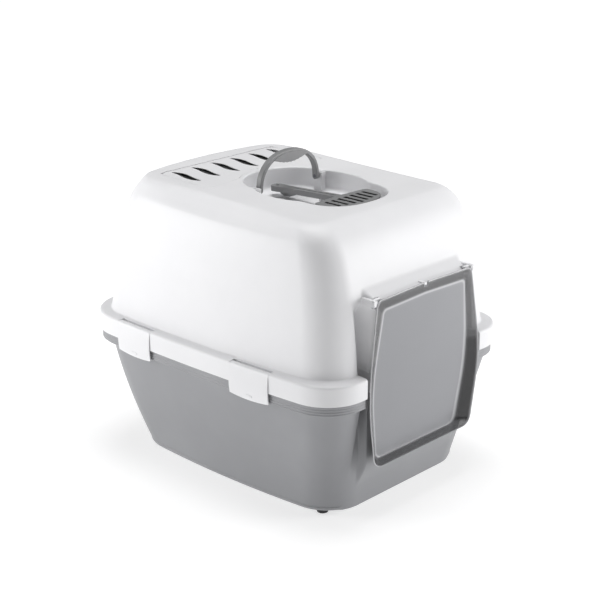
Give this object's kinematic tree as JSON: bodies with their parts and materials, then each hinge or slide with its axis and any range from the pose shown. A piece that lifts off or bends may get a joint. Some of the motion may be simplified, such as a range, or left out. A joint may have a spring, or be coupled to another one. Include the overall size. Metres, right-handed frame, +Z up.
{
  "type": "cat litter box with hood",
  "caption": "Hooded cat litter box: a grey tray under a white clip-on hood with a see-through swing flap, carry handle, filter vent and stowed scoop.",
  "frame": {"origin": "on the ground, under the middle of the object", "axes": "+X to the right seen from the front, +Y to the rear, +Z up; the doorway faces -Y"},
  "size_m": [0.4588, 0.58, 0.521],
  "materials": {
    "hood_white": "satin moulded plastic",
    "tray_grey": "satin moulded plastic",
    "flap_smoked": "smoked see-through plastic",
    "handle_grey": "satin moulded plastic",
    "grip_grey": "fine-textured plastic",
    "filter_black": "carbon felt",
    "foot_rubber": "matt rubber"
  },
  "bodies": {
    "base": {"tray": "tray_grey", "foot_front_left": "foot_rubber", "foot_front_right": "foot_rubber", "foot_rear_left": "foot_rubber", "foot_rear_right": "foot_rubber"},
    "hood": {"hood": "hood_white", "carbon_filter": "filter_black", "clip_rod_front_left": "hood_white", "clip_rod_front_right": "hood_white", "clip_rod_rear_left": "hood_white", "clip_rod_rear_right": "hood_white"},
    "flap": {"flap": "flap_smoked", "flap_hinge_left": "hood_white", "flap_hinge_right": "hood_white"},
    "handle": {"handle": "handle_grey", "handle_grip": "grip_grey", "handle_pin_left": "handle_grey", "handle_pin_right": "handle_grey"},
    "scoop": {"scoop": "handle_grey"},
    "vent_cover": {"vent_cover": "hood_white"},
    "clip_front_left": {"clip_front_left": "hood_white"},
    "clip_front_right": {"clip_front_right": "hood_white"},
    "clip_rear_left": {"clip_rear_left": "hood_white"},
    "clip_rear_right": {"clip_rear_right": "hood_white"}
  },
  "joints": [
    {"name": "hood_lift", "type": "slide", "parent": "base", "child": "hood", "axis": [0, 0, 1], "range_m": [0, 0.2]},
    {"name": "flap_swing", "type": "hinge", "parent": "hood", "child": "flap", "pos_m": [0, -0.281, 0.357], "axis": [-1, 0, 0], "range_deg": [0, 85]},
    {"name": "handle_fold", "type": "hinge", "parent": "hood", "child": "handle", "pos_m": [0, 0.005, 0.464], "axis": [-1, 0, 0], "range_deg": [0, 90]},
    {"name": "scoop_lift", "type": "slide", "parent": "hood", "child": "scoop", "axis": [0, 0, 1], "range_m": [0, 0.03]},
    {"name": "vent_open", "type": "hinge", "parent": "hood", "child": "vent_cover", "pos_m": [0, 0.16699, 0.47357], "axis": [-1, 0, 0], "range_deg": [0, 90]},
    {"name": "clip_front_left_turn", "type": "hinge", "parent": "hood", "child": "clip_front_left", "pos_m": [-0.21796, -0.125, 0.2388], "axis": [-0.0353, 0.9994, 0], "range_deg": [0, 90]},
    {"name": "clip_front_right_turn", "type": "hinge", "parent": "hood", "child": "clip_front_right", "pos_m": [0.21796, -0.125, 0.2388], "axis": [-0.0353, -0.9994, 0], "range_deg": [0, 90]},
    {"name": "clip_rear_left_turn", "type": "hinge", "parent": "hood", "child": "clip_rear_left", "pos_m": [-0.21698, 0.138, 0.2388], "axis": [0.0427, 0.9991, 0], "range_deg": [0, 90]},
    {"name": "clip_rear_right_turn", "type": "hinge", "parent": "hood", "child": "clip_rear_right", "pos_m": [0.21698, 0.138, 0.2388], "axis": [0.0427, -0.9991, 0], "range_deg": [0, 90]}
  ]
}
